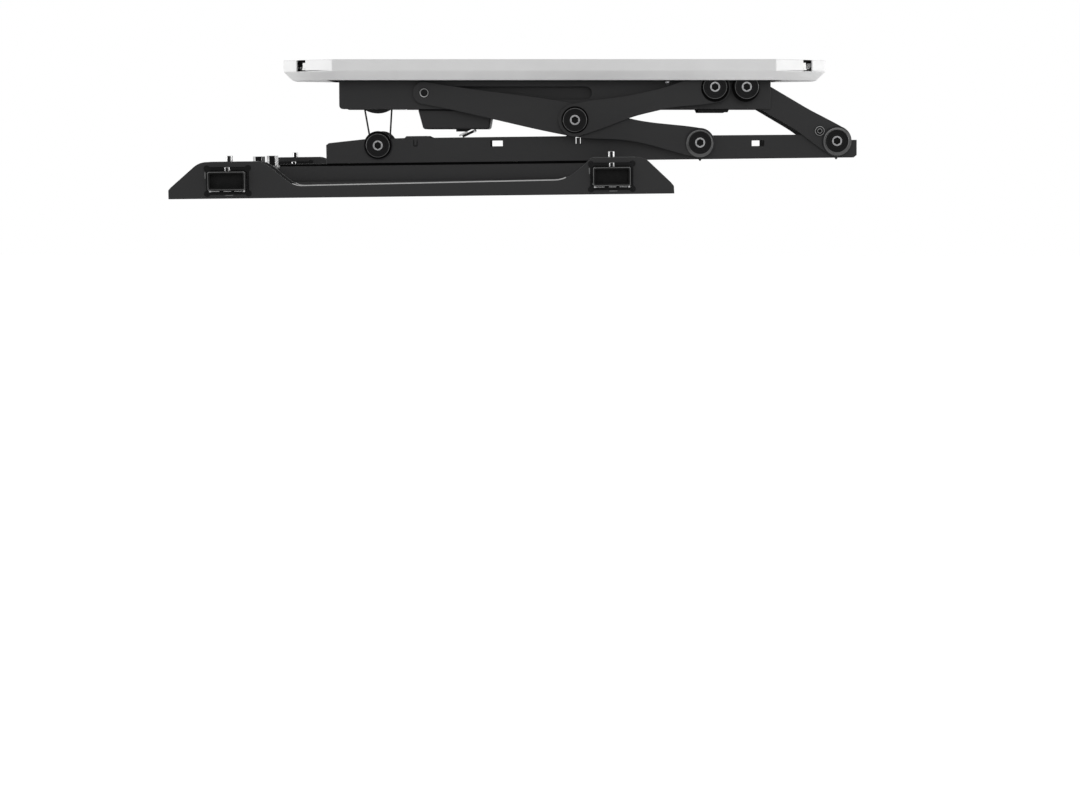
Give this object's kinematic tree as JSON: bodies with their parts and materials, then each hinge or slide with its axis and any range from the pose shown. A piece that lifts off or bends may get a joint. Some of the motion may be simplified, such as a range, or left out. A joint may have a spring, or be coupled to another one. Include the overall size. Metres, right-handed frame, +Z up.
{
  "type": "motorized tv ceiling mount",
  "caption": "Motorised fold-down ceiling mount for a flat screen: covered ceiling plate, linkage arms, swinging frame, rope winch and sliding screen brackets.",
  "frame": {"origin": "centre of the cover's outline on the ceiling face", "axes": "+X along the mount towards the hinge end, +Y across it, +Z up into the ceiling"},
  "size_m": [0.7139, 0.656, 0.1455],
  "materials": {
    "white_paint": "fine satin powder coat",
    "white_plastic": "satin moulded",
    "black_paint": "fine textured powder coat, satin",
    "black_plastic": "satin moulded",
    "black_rubber": "matt",
    "dark_steel": "black oxide, satin",
    "bright_steel": "zinc plated",
    "bracket_steel": "grey coat",
    "gear_brass": "machined",
    "motor_case": "satin",
    "nylon": "semi-matt",
    "rope_wire": "stranded wire",
    "sensor_lens": "gloss, dark red"
  },
  "bodies": {
    "base": {"ceiling_plate": "black_paint", "cover_shell": "white_paint", "cover_clips": "white_plastic", "base_rail_near": "black_paint", "base_rail_far": "black_paint", "root_axle": "dark_steel", "root_caps": "black_plastic", "rear_pivot_studs": "black_plastic", "rail_bumpers": "black_rubber", "winch_plate_near": "bracket_steel", "winch_plate_far": "bracket_steel", "rope_anchor": "bright_steel", "gearbox_housing": "motor_case", "worm_shaft": "bright_steel", "motor_bracket": "bracket_steel", "gear_motor": "motor_case", "motor_housing": "black_plastic", "limit_switch": "black_plastic", "control_box": "black_plastic", "remote_sensor": "sensor_lens", "power_inlet": "black_plastic"},
    "guide": {"guide_shoes": "nylon"},
    "long_arm": {"long_arm_near": "black_paint", "long_arm_far": "black_paint", "knee_axle": "dark_steel", "knee_caps": "black_plastic"},
    "cross_arm": {"cross_arm_near": "black_paint", "cross_arm_far": "black_paint", "slide_end_rivets": "bright_steel"},
    "swing": {"swing_frame": "black_paint", "elbow_axle": "dark_steel", "tail_axle": "dark_steel", "pulley_axle": "dark_steel", "frame_caps": "black_plastic"},
    "rear_arm": {"rear_arm_near": "black_paint", "rear_arm_far": "black_paint", "rear_arm_tie": "dark_steel", "rear_arm_bolts": "bright_steel"},
    "pulley": {"rope_pulley": "black_plastic"},
    "carriage": {"carriage_channel": "black_paint", "carriage_studs": "bright_steel", "cross_tube_left": "black_paint", "cross_tube_right": "black_paint", "tube_end_caps": "black_rubber", "tube_nuts": "dark_steel"},
    "near_bracket": {"bracket_near": "black_paint", "tube_collars_near": "black_plastic", "clamp_screws_near": "bright_steel"},
    "far_bracket": {"bracket_far": "black_paint", "tube_collars_far": "black_plastic", "clamp_screws_far": "bright_steel"},
    "drum": {"winch_drum": "black_paint", "rope_winding": "rope_wire", "drum_shaft": "bright_steel", "worm_wheel": "gear_brass"},
    "lever": {"switch_lever": "bright_steel"},
    "anchor_rope": {"rope_anchor_run": "rope_wire"},
    "anchor_rope_end": {"rope_anchor_end": "rope_wire"},
    "drum_rope": {"rope_drum_run": "rope_wire"},
    "drum_rope_end": {"rope_drum_end": "rope_wire"}
  },
  "joints": [
    {"name": "fold", "type": "hinge", "parent": "base", "child": "long_arm", "pos_m": [0.1755, 0, -0.0295], "axis": [0, -1, 0], "range_deg": [0, 57.2]},
    {"name": "knee", "type": "hinge", "parent": "long_arm", "child": "cross_arm", "pos_m": [0.02297, 0, -0.06539], "axis": [0, -1, 0], "range_deg": [-104.55, 0]},
    {"name": "elbow", "type": "hinge", "parent": "cross_arm", "child": "swing", "pos_m": [0.15978, 0, -0.08994], "axis": [0, -1, 0], "range_deg": [0, 129.41]},
    {"name": "tail", "type": "hinge", "parent": "swing", "child": "rear_arm", "pos_m": [0.31007, 0, -0.08816], "axis": [0, -1, 0], "range_deg": [-138.36, 0]},
    {"name": "guide_slide", "type": "slide", "parent": "base", "child": "guide", "axis": [1, 0, 0], "range_m": [0, 0.1751]},
    {"name": "carriage_slide", "type": "slide", "parent": "swing", "child": "carriage", "axis": [0.9999, 0, 0.0118], "range_m": [0, 0.105]},
    {"name": "near_bracket_slide", "type": "slide", "parent": "carriage", "child": "near_bracket", "axis": [0, 1, 0], "range_m": [0, 0.2]},
    {"name": "far_bracket_slide", "type": "slide", "parent": "carriage", "child": "far_bracket", "axis": [0, -1, 0], "range_m": [0, 0.2]},
    {"name": "pulley_spin", "type": "hinge", "parent": "swing", "child": "pulley", "pos_m": [-0.19381, 0, -0.09311], "axis": [0, -1, 0], "range_deg": [-3633.05, 0]},
    {"name": "drum_spin", "type": "hinge", "parent": "base", "child": "drum", "pos_m": [-0.1964, 0, -0.031], "axis": [0, -1, 0], "range_deg": [-4902.02, 0]},
    {"name": "lever_swing", "type": "hinge", "parent": "base", "child": "lever", "pos_m": [-0.0875, 0, -0.0776], "axis": [0, -1, 0], "range_deg": [0, 20.02]},
    {"name": "anchor_rope_swing", "type": "hinge", "parent": "base", "child": "anchor_rope", "pos_m": [-0.2129, 0, -0.0442], "axis": [0, -1, 0], "range_deg": [0, 20.59]},
    {"name": "anchor_rope_pay_out", "type": "slide", "parent": "anchor_rope", "child": "anchor_rope_end", "axis": [0.171, 0, -0.9853], "range_m": [0, 0.6515], "deforming": ["rope_anchor_run", "rope_anchor_end"]},
    {"name": "drum_rope_swing", "type": "hinge", "parent": "base", "child": "drum_rope", "pos_m": [-0.1964, 0, -0.031], "axis": [0, -1, 0], "range_deg": [0, 32.71]},
    {"name": "drum_rope_pay_out", "type": "slide", "parent": "drum_rope", "child": "drum_rope_end", "axis": [-0.0638, 0, -0.998], "range_m": [0, 0.64422], "deforming": ["rope_drum_run", "rope_drum_end"]}
  ],
  "couplings": [
    {"joint": "knee", "follows": "fold", "ratio": -1.8275},
    {"joint": "elbow", "follows": "fold", "ratio": 2.262},
    {"joint": "tail", "follows": "fold", "ratio": -2.4185},
    {"joint": "guide_slide", "follows": "fold", "m_per_rad": 0.17529},
    {"joint": "pulley_spin", "follows": "fold", "ratio": -63.515},
    {"joint": "drum_spin", "follows": "fold", "ratio": -85.7},
    {"joint": "lever_swing", "follows": "fold", "ratio": 0.34965},
    {"joint": "anchor_rope_swing", "follows": "fold", "ratio": 0.35965},
    {"joint": "anchor_rope_pay_out", "follows": "fold", "m_per_rad": 0.6525},
    {"joint": "drum_rope_swing", "follows": "fold", "ratio": 0.57155},
    {"joint": "drum_rope_pay_out", "follows": "fold", "m_per_rad": 0.6452}
  ]
}
